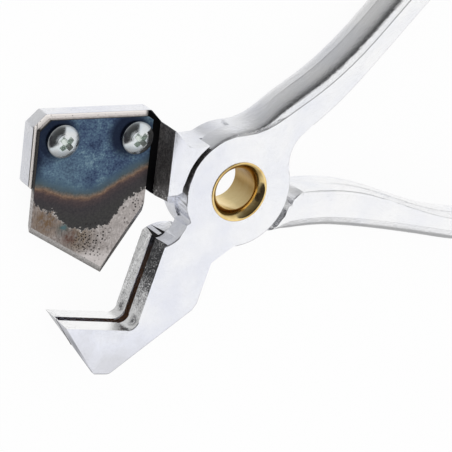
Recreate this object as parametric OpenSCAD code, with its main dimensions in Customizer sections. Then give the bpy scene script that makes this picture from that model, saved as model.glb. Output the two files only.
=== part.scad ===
// Hose cutter: two plated castings lapped on a brass tube rivet. The anvil half has the lower
// jaw and the upper handle, the blade half has the upper jaw and the lower handle.
// Origin: the pivot axis at half the thickness. +X runs to the handles, +Z comes out of the front.

/* [Hub and pivot] */
// Thickness of the castings, front face to back face
cast_t = 13.5; // [12:0.5:18]
// Radius of the two lapped hub discs
hub_r = 16; // [15.9:0.1:18]
// Radius of the blade half's hub disc, in the back half of the thickness
disc_r = 16.6; // [16.2:0.1:16.8]
// Gap between a hub disc and the shoulders that go round it
shoulder_gap = 1.5; // [0.8:0.1:1.6]
// Radius of the hole through the rivet
rivet_bore_r = 6; // [4.5:0.1:6.2]
// Wall of the rivet tube
rivet_wall = 1; // [0.8:0.1:1.1]
// Radius of the flared rivet ends
rivet_flare_r = 8.5; // [8:0.1:9]
// Depth of the rivet's flare
rivet_flare_depth = 2.4; // [2:0.1:3]
// Height of the rivet's lip above the front face
rivet_proud = 0.3; // [0.2:0.05:0.6]

/* [Anvil jaw] */
// Distance of the cradle's corner to the left of the pivot
cradle_x = 27; // [25:0.5:32]
// Distance of the cradle's corner below the pivot
cradle_y = 38.4; // [38:0.2:44]
// Length of the cradle's wall
wall_len = 24.8; // [24:0.2:26]
// Length of the cradle's floor
floor_len = 21; // [20.6:0.2:26]
// Direction of the wall, seen from the corner
wall_angle = 75.8; // [73:0.2:78]
// Angle between wall and floor
cradle_angle = 96.8; // [93:0.2:98]
// Radius in the corner of the cradle
cradle_round = 3; // [2:0.5:5]
// Length of the sloping end face
end_face_len = 17.4; // [14:0.2:20]
// Radius of the throat between hub and wall
throat_r = 7.6; // [6:0.2:12]
// Height of the small ledge where the throat meets the hub
ledge_h = 1.4; // [1:0.1:2]
// Width of the slot that takes the blade
slot_w = 2.6; // [2.4:0.1:4]
// Depth of the slot under the cradle's floor
slot_depth = 4.4; // [3:0.2:5]

/* [Blade jaw] */
// Distance from the pivot to the pocket's step wall
step_x = 22.1; // [21.5:0.1:26]
// Length of the pocket that holds the blade
pocket_len = 37.1; // [34:0.5:38]
// Height of the holder's top edge above the pivot
holder_top = 21.7; // [21:0.1:23]
// Height of the holder plate at its free end
holder_h = 20.3; // [18:0.1:22]
// Thickness of the holder plate behind the blade
plate_t = 5.4; // [4.5:0.1:6]
// Size of the cut corner at the free end
corner_cut = 3.4; // [2:0.2:5]

/* [Blade and screws] */
// Width of the blade
blade_w = 32.7; // [28:0.1:33]
// Thickness of the blade
blade_t = 1.8; // [1.5:0.1:2]
// Length of the blade's free side
blade_free_h = 30.8; // [27:0.2:31]
// Length of the blade's side next to the hub
blade_hub_h = 26.9; // [25:0.1:27.5]
// Length from the blade's top to its point
blade_point_h = 43.8; // [40:0.1:44]
// Distance of the point from the free side
blade_point_in = 22.1; // [19:0.1:22.5]
// Strip of the holder that shows round the blade
blade_rim = 1.1; // [0.7:0.1:1.5]
// Width of the ground bevels
bevel_w = 1.4; // [1:0.1:2.5]
// Thread diameter of the blade screws
screw_d = 4.8; // [4:0.2:6]
// Radius of the screws' pan heads
head_r = 4.6; // [4:0.1:5.5]
// Height of the pan heads
head_h = 2.9; // [2.6:0.1:4]
// Distance of the outer screw from the holder's free end
screw_inset = 7.8; // [7:0.1:10]
// Distance of the inner screw from the blade's side next to the hub
screw_edge = 4.5; // [4:0.1:6]
// Distance of the screws below the holder's top edge
screw_drop = 6.8; // [6:0.1:9]

/* [Handles] */
// Reach of the handles from the pivot
grip_reach = 148; // [135:1:170]
// Distance of the lower handle's root from the centre line
lower_offset = 5.4; // [5.2:0.1:6.4]
// Distance of the upper handle's root from the centre line
upper_offset = 5.9; // [5.7:0.1:7]
// Sideways sweep of the upper handle
grip_flare = 10.9; // [8:0.1:16]
// How far the handle ends come back in
grip_return = 3.5; // [0:0.5:8]
// Angle from the lower to the upper handle at rest, less their own sweep
grip_turn = 36; // [36:0.5:44]
// Face width of the lower handle at its root
lower_root_w = 7.7; // [7.4:0.1:9]
// Face width of the lower handle along the grip
lower_grip_w = 3.8; // [3.6:0.1:7]
// Face width of the upper handle at its root
upper_root_w = 7.6; // [7.4:0.1:9.4]
// Face width of the upper handle along the grip
upper_grip_w = 5; // [4.6:0.1:8]
// Width of the slant along the lower handle's inner front edge
slant_w = 1.2; // [0.8:0.1:1.5]
// How far the outer sides bulge at half the thickness
grip_bulge = 3.6; // [1:0.1:4]

/* [Spring and latch] */
// Wire radius of the opening spring
spring_wire_r = 0.8; // [0.5:0.05:0.85]
// Mean radius of the spring's turns
spring_r = 10; // [9.6:0.1:10.4]
// Number of turns of the spring
spring_turns = 2.25; // [1.25:1:2.25]
// Wire radius of the latch bail
bail_wire_r = 1; // [0.8:0.05:1]
// Thickness of the ears at the handle ends
ear_t = 7.8; // [7:0.1:7.9]
// Length of the ears
ear_len = 11; // [9:0.5:16]

/* [Hidden] */
$fn = 96;
eps = 0.01;

// Levels, measured from half the thickness
front = cast_t / 2;
back = -front;
pocket_floor = back + plate_t;
blade_front = pocket_floor + blade_t;
blade_mid = (pocket_floor + blade_front) / 2;
lap_clear = 0.05;
fit_clear = 0.05;
shoulder_r = hub_r + shoulder_gap;
// The upper handle's back half starts at this angle, close to the other disc, and stops the opening
stop_angle = 96;
stop_r = disc_r + 0.3;

// How far the jaws close from rest, in degrees, and the room for the blade in its slot
close_angle = 28;
open_angle = 28;
slot_clear = 0.6;

function dir(a) = [cos(a), sin(a)];
function turned(p, a) = [p.x * cos(a) - p.y * sin(a), p.x * sin(a) + p.y * cos(a)];
function smooth(t) = let (c = max(0, min(1, t))) c * c * (3 - 2 * c);
// Centre of the arc of radius r from a to b, on its left side
function arc_centre(a, b, r) = let (chord = b - a)
    (a + b) / 2 + sqrt(pow(r, 2) - pow(norm(chord) / 2, 2)) * [-chord.y, chord.x] / norm(chord);
// The point where the line through p along angle a meets the line through q along angle b
function crossing(p, a, q, b) =
    p + dir(a) * ((q - p) * [sin(b), -cos(b)]) / (dir(a) * [sin(b), -cos(b)]);

// Corners of the anvil jaw
floor_angle = wall_angle + cradle_angle;
cradle = [-cradle_x, -cradle_y];
throat_top = cradle + wall_len * dir(wall_angle);
floor_tip = cradle + floor_len * dir(floor_angle);
end_angle = floor_angle - 228.8;
toe = floor_tip + end_face_len * dir(end_angle);
toe_flat = 4.6;
toe_heel = toe + toe_flat * dir(-6);
under_angle = 35.4;
heel_angle = wall_angle + 0.6;
neck_low = [-5.9, -hub_r - 4.2];
heel = crossing(toe_heel, under_angle, neck_low, heel_angle);
heel_cut = 1.2;
toe_edge = 1.2;
ledge_angle = -149.8;
ledge = (hub_r + ledge_h) * dir(ledge_angle);
throat_centre = arc_centre(throat_top, ledge, throat_r);
// The back half of the wall ends in a hump, which the other jaw's neck just clears when it closes
hump_angle = -134;
hump_end = (shoulder_r + 0.1) * dir(hump_angle);
hump_r = 11;
hump_centre = arc_centre(hump_end, throat_top, hump_r);
neck_angle = -164.5;

// Corners of the holder behind its step: the slanting top's foot, its run to the hub, and the
// foot of the block beside the hub
brow = [-17.1, 13.6];
brow_end = brow + [1.9, -0.5];
brow_angle = 121;
block_top_angle = 128.5;
block_low_angle = 175;
block_mid_angle = 125;
block_toe = [-18.9, 0];
block_heel = block_toe + [1.5, 0.8];

// Corners of the blade, from its top corner at the free end round the point
blade_x = -step_x - pocket_len + blade_rim;
blade_y = holder_top - blade_rim;
blade_free = [blade_x, blade_y - blade_free_h];
blade_point = [blade_x + blade_point_in, blade_y - blade_point_h];
blade_hub = [blade_x + blade_w, blade_y - blade_hub_h];
free_edge_angle = atan2(blade_point.y - blade_free.y, blade_point.x - blade_free.x);
hub_edge_angle = atan2(blade_hub.y - blade_point.y, blade_hub.x - blade_point.x);
screw_y = holder_top - screw_drop;
screw_outer_x = -step_x - pocket_len + screw_inset;
screw_inner_x = blade_hub.x - screw_edge;

// Handles: where along the reach each one sweeps out, from what offset and how far, then where
// its face narrows, over what length its side starts to bulge, and how far it does at the root
lower_flare = grip_flare + upper_offset - upper_grip_w / 2 - lower_offset + lower_grip_w / 2;
lower_sweep = [27, 88, lower_offset, lower_flare];
lower_taper = [35, 72, 14, 0.15];
upper_sweep = [30, 96, upper_offset, grip_flare];
upper_taper = [18, 56, 20, 1.1];
root_u = 9;
grip_steps = 44;
root_y = sqrt(pow(hub_r, 2) - pow(root_u, 2));
bulge_h = front - 0.3;
bulge_sink = 2;
bulge_steps = 12;
bulge_fullness = 2.6;
ear_u = grip_reach - 5;

function grip_y(u, sweep) = sweep[2] + sweep[3] * smooth((u - sweep[0]) / (sweep[1] - sweep[0]))
    - grip_return * pow(max(0, (u - sweep[1]) / (grip_reach - sweep[1])), 2);
function grip_dir(u, sweep) = atan2(grip_y(u + 0.5, sweep) - grip_y(u - 0.5, sweep), 1);
function grip_w(u, root_w, end_w, taper) =
    root_w - (root_w - end_w) * smooth((u - taper[0]) / (taper[1] - taper[0]));
// A root spreads outwards, so that its outer side runs on into the hub's edge
function root_spread(u, sweep, root_w) = let (rise = root_y - sweep[2] - root_w / 2)
    rise * pow(max(0, 1 - (u - root_u) * root_u / root_y / (3 * rise)), 3);
function grip_u(i) = root_u + (grip_reach - lower_grip_w / 2 - root_u) * i / grip_steps;
function grip_side(u, sweep, out) = [u, grip_y(u, sweep)] + out * dir(grip_dir(u, sweep) + 90);

// The bulge grows from the hub to the grip and dies out before the ear
function bulge_at(u, taper) = taper[3] + (grip_bulge - taper[3])
    * smooth((u - root_u + 3) / taper[2]) * smooth((grip_reach - ear_len - 1 - u) / 14)
    - (taper[3] - 0.15) * smooth((u - grip_reach + ear_len + 15) / 14);

// Latch: where its feet turn, and how far the cross bar is from them
latch_pivot = turned([ear_u, grip_y(ear_u, upper_sweep)], grip_turn);
latch_gap = 0.8;
hook_gap = 0.3;
hook_side = grip_side(ear_u, lower_sweep, lower_grip_w / 2 + hook_gap + bail_wire_r);
bail_len = norm(turned([hook_side.x, -hook_side.y], close_angle) - latch_pivot);
arm_z = ear_t / 2 + latch_gap + bail_wire_r;
bail_bend = latch_gap + bail_wire_r;

// Outline of the bulge across the handle: distance out of the side, and height
function bulge_ring(b) = concat([[-bulge_sink, -bulge_h]],
    [for (k = [0:bulge_steps]) let (a = 180 * k / bulge_steps - 90)
        [b * pow(max(0, cos(a)), 2 / bulge_fullness),
            bulge_h * sign(a) * pow(abs(sin(a)), 2 / bulge_fullness)]],
    [[-bulge_sink, bulge_h]]);

// Face outline of a handle that sweeps to +Y
module grip_face(sweep, root_w, end_w, taper) {
    polygon(concat(
        [for (i = [0:grip_steps]) let (u = grip_u(i))
            grip_side(u, sweep, grip_w(u, root_w, end_w, taper) / 2 + root_spread(u, sweep, root_w))],
        [for (i = [grip_steps:-1:0]) let (u = grip_u(i))
            grip_side(u, sweep, -grip_w(u, root_w, end_w, taper) / 2)]));
    translate(grip_side(grip_u(grip_steps), sweep, 0)) circle(end_w / 2);
}

// Rounded outer side of a handle that sweeps to +Y. It starts on the hub's edge at an angle, and
// stands square to the outline all the way
module grip_back(sweep, root_w, end_w, taper, hub_from) {
    function side(u) = grip_side(u, sweep, grip_w(u, root_w, end_w, taper) / 2
        + root_spread(u, sweep, root_w));
    function out(u) = let (run = side(u + 0.2) - side(u - 0.2)) [-run.y, run.x] / norm(run);
    count = bulge_steps + 3;
    root_angle = acos(root_u / hub_r);
    root_sunk = 0.03;
    arc_steps = round((hub_from - root_angle) / 6);
    last = arc_steps + grip_steps - 4;
    arc_rings = [for (i = [0:1:arc_steps - 1]) let (t = i / arc_steps,
        b = 0.05 + (bulge_at(root_u, taper) - 0.05) * pow(t, 0.7),
        way = dir(hub_from + (root_angle - hub_from) * t))
        for (q = bulge_ring(b)) concat((hub_r - root_sunk + q[0]) * way, q[1])];
    grip_rings = [for (i = [0:grip_steps - 4]) let (u = grip_u(i), p = side(u), way = out(u))
        for (q = bulge_ring(bulge_at(u, taper))) concat(p + q[0] * way, q[1])];
    points = concat(arc_rings, grip_rings);
    walls = [for (i = [0:last - 1]) for (j = [0:count - 1]) let (k = (j + 1) % count)
        for (f = [[(i + 1) * count + k, i * count + k, i * count + j],
            [(i + 1) * count + j, (i + 1) * count + k, i * count + j]]) f];
    caps = [[for (j = [0:count - 1]) j], [for (j = [count - 1:-1:0]) last * count + j]];
    polyhedron(points, concat(walls, caps));
}

// Room beside an ear, so that the latch's arms stay within the thickness
module ear_cuts(sweep) {
    translate([ear_u, grip_y(ear_u, sweep), 0]) rotate(grip_dir(ear_u, sweep)) for (s = [0, 1])
        mirror([0, 0, s]) translate([5 - ear_len, -15, ear_t / 2]) cube([40, 30, cast_t]);
}

// The whole thickness of the tool, from one level to another
module slab(from, to) {
    translate([0, 0, from]) linear_extrude(to - from) children();
}

// Annular room for the spring round the rivet
module spring_room(from, to) {
    translate([0, 0, from]) difference() {
        cylinder(h = to - from, r = spring_outer_r);
        translate([0, 0, -eps]) cylinder(h = to - from + 2 * eps, r = spring_inner_r);
    }
}

// Hole for the rivet, with its flared mouth at the level of a face
module rivet_hole(face_z) {
    bore = rivet_bore_r + rivet_wall + fit_clear;
    flare = rivet_flare_r - 0.2 + fit_clear;
    mirror([0, 0, face_z < 0 ? 1 : 0]) {
        translate([0, 0, -1]) cylinder(h = abs(face_z) + 2, r = bore);
        translate([0, 0, abs(face_z) - rivet_flare_depth])
            rotate_extrude() polygon([[0, 0], [bore, 0], [flare, rivet_flare_depth],
                [flare, rivet_flare_depth + 1], [0, rivet_flare_depth + 1]]);
    }
}

// Spring room and coil
spring_side_clear = 0.35;
spring_inner_r = spring_r - spring_wire_r - spring_side_clear;
spring_outer_r = spring_r + spring_wire_r + spring_side_clear;
spring_pitch = 2 * spring_wire_r + 0.45;
spring_half = spring_turns * spring_pitch / 2;
room_half = spring_half + spring_wire_r + 0.05;
leg_r = 13.9;
leg_room_r = leg_r + 0.4;
leg_top_angle = 200;
leg_low_angle = leg_top_angle - 360 * spring_turns;

// A sector of a ring between two angles, as an outline
module sector(r, from, to) {
    intersection() {
        circle(r);
        polygon([[0, 0], 2 * r * dir(from), 2.5 * r * dir((from + to) / 2), 2 * r * dir(to)]);
    }
}

// Lower jaw of the anvil half, as an outline, with its throat for the front or the back half
module anvil_outline(with_throat) {
    difference() {
        polygon([throat_top, cradle, floor_tip, toe, toe_heel, heel - heel_cut * dir(under_angle),
            heel + heel_cut * dir(heel_angle), neck_low, [0.5, -hub_r + 0.2], [0, 0],
            with_throat ? ledge : hump_end]);
        if (with_throat) translate(throat_centre) circle(throat_r);
    }
    // Rounded top of the wall behind the throat
    if (!with_throat) intersection() {
        translate(hump_centre) circle(hump_r);
        polygon([throat_top, throat_top + [1, 4], hump_end + [0, 3], hump_end + [4, -4]]);
    }
    // Round the corner of the cradle
    half = cradle_angle / 2;
    middle = wall_angle + half;
    run = cradle_round / tan(half);
    difference() {
        polygon([cradle - 2 * dir(middle), cradle + run * dir(wall_angle),
            cradle + run * dir(floor_angle)]);
        translate(cradle + cradle_round / sin(half) * dir(middle)) circle(cradle_round);
    }
}

// Outline of the blade, grown by a margin
module blade_outline(grow) {
    top = blade_y + grow;
    free_x = blade_x - grow;
    hub_x = blade_hub.x + grow;
    free_line = blade_free + grow * dir(free_edge_angle - 90);
    hub_line = blade_hub + grow * dir(hub_edge_angle - 90);
    cut = corner_cut - 0.4;
    polygon([[free_x, top - cut], crossing(free_line, free_edge_angle, [free_x, 0], 90),
        crossing(free_line, free_edge_angle, hub_line, hub_edge_angle),
        crossing(hub_line, hub_edge_angle, [hub_x, 0], 90), [hub_x, top - 1], [hub_x - 1.6, top],
        [free_x + cut, top]]);
}

// The slot takes the closed blade, and runs under the whole floor
module slot_outline() {
    rotate(close_angle) blade_outline(slot_clear);
    web = 0.9;
    inner_point = turned(blade_point, close_angle) + [slot_clear, -slot_clear];
    tip = floor_tip - web * dir(floor_angle);
    deep = floor_angle + 90;
    polygon([cradle + 3 * dir(floor_angle - 60), tip + 3 * dir(floor_angle - 90) + 2 * dir(0),
        tip, tip + slot_depth * dir(end_angle), cradle + slot_depth * dir(deep), inner_point,
        cradle + 8 * dir(wall_angle)]);
}

// Hollow between the hub and the inner side of the upper handle, on a handle that sweeps to +Y
module upper_neck() {
    inner_r = 10.5;
    inner_y = grip_side(25, upper_sweep, -grip_w(25, upper_root_w, upper_grip_w, upper_taper) / 2).y;
    centre = [sqrt(pow(hub_r + inner_r, 2) - pow(inner_y - inner_r, 2)), inner_y - inner_r];
    difference() {
        polygon([[0, 0], centre, [centre.x, inner_y + 1], [0, inner_y + 1]]);
        translate(centre) circle(inner_r);
    }
}

module upper_face() {
    rotate(grip_turn) {
        upper_neck();
        grip_face(upper_sweep, upper_root_w, upper_grip_w, upper_taper);
    }
}

module anvil_half() {
    color("silver") difference() {
        union() {
            slab(lap_clear, front) {
                circle(hub_r);
                anvil_outline(true);
                upper_face();
            }
            slab(back, lap_clear + eps) {
                anvil_outline(false);
                upper_face();
            }
            rotate(grip_turn)
                grip_back(upper_sweep, upper_root_w, upper_grip_w, upper_taper, 155 - grip_turn);
        }
        // Room for the other half's hub disc, tighter where the upper handle starts
        translate([0, 0, back - 1]) cylinder(h = front + 1 + lap_clear, r = stop_r);
        slab(back - 1, lap_clear) difference() {
            circle(shoulder_r);
            sector(2 * shoulder_r, stop_angle / 2, stop_angle);
        }
        slab(blade_mid - slot_w / 2, blade_mid + slot_w / 2) slot_outline();
        toe_relief();
        rivet_hole(front);
        spring_room(lap_clear - eps, room_half);
        leg_slot_w = 2 * (spring_wire_r + 0.1);
        rotate(leg_top_angle) translate([spring_r, -leg_slot_w / 2, lap_clear - eps])
            cube([leg_room_r - spring_r, leg_slot_w, room_half - lap_clear + eps]);
        rotate(grip_turn) {
            ear_cuts(upper_sweep);
            translate([ear_u, grip_y(ear_u, upper_sweep), -cast_t])
                cylinder(h = 2 * cast_t, r = bail_wire_r + fit_clear);
        }
    }
}

// Slanting cut that takes the back off the toe: the end face narrows to its lower end
module toe_relief() {
    start = concat(floor_tip, back);
    to_toe = concat(toe, front - toe_edge) - start;
    to_heel = concat(toe_heel + 6 * dir(under_angle), back) - start;
    n = cross(to_heel, to_toe) / norm(cross(to_heel, to_toe));
    translate(start) rotate([0, acos(n.z), atan2(n.y, n.x)]) translate([-30, -30, 0]) cube(60);
}

// Outline of the upper jaw through the whole thickness
module holder_outline() {
    free_x = -step_x - pocket_len;
    low = holder_top - holder_h;
    small_cut = 0.9;
    bend_x = -step_x - 3.1;
    polygon([[free_x, low + small_cut], [free_x + small_cut, low], [bend_x + 0.3, low - 1.8],
        [-step_x - 0.8, low - 3.1], shoulder_r * dir(neck_angle), [0, 0], hub_r * dir(brow_angle),
        brow_end, brow, brow + (holder_top - brow.y) * [-1, 1], [free_x + corner_cut, holder_top],
        [free_x, holder_top - corner_cut]]);
}

// Outline of the upper jaw's full-height block behind the step wall
module block_outline() {
    polygon([[-step_x, brow.y + brow.x + step_x], [-step_x, block_toe.y - 0.2], block_toe, block_heel,
        0.6 * hub_r * dir(block_low_angle), 0.6 * hub_r * dir(block_mid_angle),
        shoulder_r * dir(block_top_angle), brow_end, brow]);
}

module lower_face() {
    mirror([0, 1, 0]) grip_face(lower_sweep, lower_root_w, lower_grip_w, lower_taper);
}

// Slanting cut along the inner front edge of the lower handle, which fades out towards the grip
module inner_slant() {
    steps = 16;
    from_u = 17.5;
    to_u = 57;
    points = [for (i = [0:steps]) let (u = from_u + (to_u - from_u) * i / steps,
        side = -grip_w(u, lower_root_w, lower_grip_w, lower_taper) / 2,
        w = slant_w * smooth((u - from_u) / 5) * smooth((to_u - u) / 16))
        for (q = [[w + 0.4, front + 0.24], [-2, front + 2], [-0.4, front - 0.6 * w - 0.24]])
            let (p = grip_side(u, lower_sweep, side + q[0])) [p.x, p.y, q[1]]];
    walls = [for (i = [0:steps - 1]) for (j = [0:2]) let (k = (j + 1) % 3)
        for (f = [[3 * i + 3 + k, 3 * i + k, 3 * i + j], [3 * i + 3 + j, 3 * i + 3 + k, 3 * i + j]]) f];
    polyhedron(points, concat(walls, [[0, 1, 2], [3 * steps + 2, 3 * steps + 1, 3 * steps]]));
}

module blade_half() {
    root_round = 3.6;
    root_in = lower_offset - lower_root_w / 2;
    color("silver") difference() {
        union() {
            slab(back, pocket_floor) holder_outline();
            slab(back, -lap_clear) {
                circle(disc_r);
                intersection() {
                    holder_outline();
                    translate([-step_x, -holder_top]) square(2 * holder_top);
                }
                lower_face();
            }
            difference() {
                union() {
                    slab(-lap_clear - eps, front) {
                        block_outline();
                        difference() {
                            lower_face();
                            translate([0, -root_in]) difference() {
                                translate([10, -root_round]) square([shoulder_r + root_round - 10, 6]);
                                translate([shoulder_r + root_round, -root_round]) circle(root_round);
                            }
                        }
                    }
                    mirror([0, 1, 0])
                        grip_back(lower_sweep, lower_root_w, lower_grip_w, lower_taper,
                            acos(root_u / hub_r));
                }
                translate([0, 0, -lap_clear - eps]) cylinder(h = cast_t, r = shoulder_r);
                translate([0, 0, back - eps]) cylinder(h = cast_t, r = hub_r - 1);
            }
        }
        rivet_hole(back);
        spring_room(-room_half, -lap_clear + eps);
        slab(-room_half, -lap_clear + eps)
            sector(leg_room_r, leg_low_angle - close_angle - 6, leg_low_angle + open_angle + 6);
        for (x = [screw_outer_x, screw_inner_x]) translate([x, screw_y, back - 1])
            cylinder(h = plate_t + 2, r = screw_d / 2 + fit_clear);
        mirror([0, 1, 0]) {
            ear_cuts(lower_sweep);
            inner_slant();
        }
    }
}

module cutting_blade() {
    color("steelblue") difference() {
        slab(pocket_floor, blade_front) blade_outline(0);
        for (x = [screw_outer_x, screw_inner_x]) translate([x, screw_y, pocket_floor - 1])
            cylinder(h = blade_t + 2, r = screw_d / 2 + 0.15);
        edge_bevels(blade_free, free_edge_angle);
        edge_bevels(blade_point, hub_edge_angle);
    }
}

// The two ground faces along one cutting edge that starts at p
module edge_bevels(p, angle) {
    land = 0.3;
    grind = (blade_t - land) / 2;
    for (s = [0, 1]) translate([p.x, p.y, blade_mid]) rotate(angle) mirror([0, 0, s])
        translate([-5, 0, 0]) rotate([90, 0, 90]) linear_extrude(45)
            polygon([[-1, land / 2], [0, land / 2], [bevel_w, land / 2 + grind],
                [bevel_w, blade_t], [-1, blade_t]]);
}

// Pan-head screw, from the back of the holder to the top of its cross-recessed head
module blade_screw(x) {
    rim_h = 0.9;
    dome_h = head_h - rim_h;
    dome_r = (pow(head_r, 2) + pow(dome_h, 2)) / (2 * dome_h);
    recess_w = 1.15;
    recess_len = 0.42 * head_r;
    recess_depth = 0.6 * head_h;
    color("gainsboro") translate([x, screw_y, 0]) difference() {
        union() {
            translate([0, 0, back + 0.3]) cylinder(h = blade_front - back - 0.3 + eps, r = screw_d / 2);
            translate([0, 0, blade_front]) intersection() {
                cylinder(h = head_h, r = head_r);
                translate([0, 0, head_h - dome_r]) sphere(dome_r);
            }
        }
        for (a = [45, 135]) translate([0, 0, blade_front + head_h - recess_depth]) rotate(a)
            translate([-recess_len, -recess_w / 2, 0]) cube([2 * recess_len, recess_w, head_h]);
    }
}

module blade_screw_outer() {
    blade_screw(screw_outer_x);
}

module blade_screw_inner() {
    blade_screw(screw_inner_x);
}

// Brass tube with a flared lip at each end
module pivot_rivet() {
    tube_r = rivet_bore_r + rivet_wall;
    flare = rivet_flare_r - 0.2;
    top = front + rivet_proud;
    lip = 0.55;
    color("goldenrod") rotate_extrude() polygon([[rivet_bore_r, back + rivet_flare_depth],
        [rivet_flare_r - lip, back], [flare, back], [tube_r, back + rivet_flare_depth],
        [tube_r, front - rivet_flare_depth], [flare, front], [rivet_flare_r, front],
        [rivet_flare_r, top - 0.1], [rivet_flare_r - 0.1, top], [rivet_flare_r - lip, top],
        [rivet_bore_r, front - rivet_flare_depth]]);
}

// Torsion spring: turns with one leg bent out at each end
module opening_spring() {
    sides = 8;
    per_turn = 20;
    steps = round(per_turn * spring_turns);
    function place(i) = let (a = leg_low_angle + 360 * spring_turns * i / steps)
        [spring_r * cos(a), spring_r * sin(a), spring_half * (2 * i / steps - 1)];
    function heading(i) = leg_low_angle + 360 * spring_turns * i / steps;
    ring = [for (i = [0:steps]) for (k = [0:sides - 1]) let (a = 360 * k / sides, h = heading(i),
        out = spring_wire_r * cos(a)) place(i) + [out * cos(h), out * sin(h), spring_wire_r * sin(a)]];
    walls = [for (i = [0:steps - 1]) for (k = [0:sides - 1]) let (m = (k + 1) % sides)
        for (f = [[(i + 1) * sides + m, (i + 1) * sides + k, i * sides + k],
            [i * sides + m, (i + 1) * sides + m, i * sides + k]]) f];
    caps = [[for (k = [sides - 1:-1:0]) k], [for (k = [0:sides - 1]) steps * sides + k]];
    color("dimgray") {
        polyhedron(ring, concat(walls, caps));
        for (end = [[leg_low_angle, -spring_half], [leg_top_angle, spring_half]])
            rotate(end[0]) translate([spring_r, 0, end[1]]) rotate([0, 90, 0])
                cylinder(h = leg_r - spring_r, r = spring_wire_r * 0.98);
    }
}

// Wire bail in the upper handle's ear; its cross bar hooks over the other ear when the jaws close
module latch_bail() {
    color("gainsboro") translate(concat(latch_pivot, [0])) for (s = [0, 1]) mirror([0, 0, s]) {
        // Foot in the cross hole, bend, arm, bend and half of the cross bar
        translate([0, 0, 0.3]) cylinder(h = arm_z - bail_bend - 0.3, r = bail_wire_r);
        translate([bail_bend, 0, arm_z - bail_bend]) rotate([90, 0, 0]) rotate([0, 0, 90])
            rotate_extrude(angle = 90) translate([bail_bend, 0]) circle(bail_wire_r);
        translate([bail_bend, 0, arm_z]) rotate([0, 90, 0])
            cylinder(h = bail_len - 2 * bail_bend, r = bail_wire_r);
        translate([bail_len - bail_bend, 0, arm_z - bail_bend]) rotate([90, 0, 0])
            rotate_extrude(angle = 90) translate([bail_bend, 0]) circle(bail_wire_r);
        translate([bail_len, 0, 0]) cylinder(h = arm_z - bail_bend, r = bail_wire_r);
    }
}

anvil_half();
blade_half();
cutting_blade();
blade_screw_outer();
blade_screw_inner();
pivot_rivet();
opening_spring();
latch_bail();
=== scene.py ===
# %% [markdown]
# # A hose cutter with a lap joint
#
# The tool has two die castings with bright plating. They lap on a hollow brass rivet. One casting
# carries a heat-blued blade under two screws, and the other has the cradle that the hose lies in.
# The sizes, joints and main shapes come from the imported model. This file gives the pieces their
# small edges, their finishes, and the light of a product photograph.

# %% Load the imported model
import math
import bmesh
import bpy
from mathutils import Matrix, Vector


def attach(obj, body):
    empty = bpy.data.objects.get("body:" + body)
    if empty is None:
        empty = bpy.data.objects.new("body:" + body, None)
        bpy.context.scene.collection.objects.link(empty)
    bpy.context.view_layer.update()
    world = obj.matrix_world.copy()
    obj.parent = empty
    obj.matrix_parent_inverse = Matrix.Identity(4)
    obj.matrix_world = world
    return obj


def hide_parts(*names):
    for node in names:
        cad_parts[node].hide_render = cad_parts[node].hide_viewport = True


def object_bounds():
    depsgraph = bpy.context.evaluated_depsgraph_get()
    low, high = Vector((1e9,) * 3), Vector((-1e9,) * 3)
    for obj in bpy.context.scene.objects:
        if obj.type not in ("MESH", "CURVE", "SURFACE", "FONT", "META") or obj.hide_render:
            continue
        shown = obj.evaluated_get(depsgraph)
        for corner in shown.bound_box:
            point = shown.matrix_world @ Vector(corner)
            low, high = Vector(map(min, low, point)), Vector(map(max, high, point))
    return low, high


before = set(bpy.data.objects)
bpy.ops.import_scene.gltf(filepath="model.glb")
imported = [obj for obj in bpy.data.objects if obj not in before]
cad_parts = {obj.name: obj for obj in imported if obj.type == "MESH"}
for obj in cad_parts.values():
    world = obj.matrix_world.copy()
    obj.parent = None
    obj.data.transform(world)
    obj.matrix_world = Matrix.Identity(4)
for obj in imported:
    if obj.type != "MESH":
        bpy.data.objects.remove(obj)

cad_box = [list(corner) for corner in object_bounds()]
MM = 0.001
print("nodes:", sorted(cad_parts))

# %% [markdown]
# ## The camera
#
# A photograph gives its camera away through circles and parallel edges. Here the rivet's lip, the
# hub's edge and the thickness of the jaws were fitted together. The view leans 36.8 degrees from
# the front face's normal, and it comes from the upper left. A long lens keeps edges parallel.

# %% Place the camera
VIEW_LEAN = 0.6429
VIEW_SIDE = 0.6326
VIEW_DISTANCE = 564.4 * MM
VIEW_SLIDE = (3.618 * MM, 9.184 * MM)
PART_TURN = math.radians(1.8)
FRONT = 6.75 * MM
LENS, SENSOR = 166.3, 36

away = Vector((-math.sin(VIEW_LEAN) * math.cos(VIEW_SIDE),
               math.sin(VIEW_LEAN) * math.sin(VIEW_SIDE), math.cos(VIEW_LEAN)))
lean = Vector((0, 0, 1)).rotation_difference(away)
right, up = lean @ Vector((1, 0, 0)), lean @ Vector((0, 1, 0))
stand = away * VIEW_DISTANCE - right * VIEW_SLIDE[0] - up * VIEW_SLIDE[1]
turn = Matrix.Rotation(PART_TURN, 4, "Z")
camera = bpy.data.objects.new("camera", bpy.data.cameras.new("camera"))
bpy.context.scene.collection.objects.link(camera)
camera.matrix_world = (Matrix.Translation((0, 0, FRONT)) @ turn
                       @ Matrix.Translation(stand) @ lean.to_matrix().to_4x4())
camera.data.lens = LENS
camera.data.sensor_width = SENSOR
camera.data.clip_start = 0.01
bpy.context.scene.camera = camera
print("camera at", [round(value, 3) for value in camera.matrix_world.translation])

# %% [markdown]
# ## Helpers for materials
#
# Each finish is a small node tree. All of them read Object coordinates, scaled here to
# millimetres, so that a noise scale is a number of patches per millimetre. Colours are written
# as they look on a screen, and are turned into the linear values that the shader wants.


# %% Colours, nodes and places on a piece
def seen(red, green, blue):
    """A screen colour of 0 to 255 as linear RGBA."""
    def linear(value):
        part = value / 255
        return part / 12.92 if part <= 0.04045 else ((part + 0.055) / 1.055) ** 2.4
    return (linear(red), linear(green), linear(blue), 1)


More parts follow.
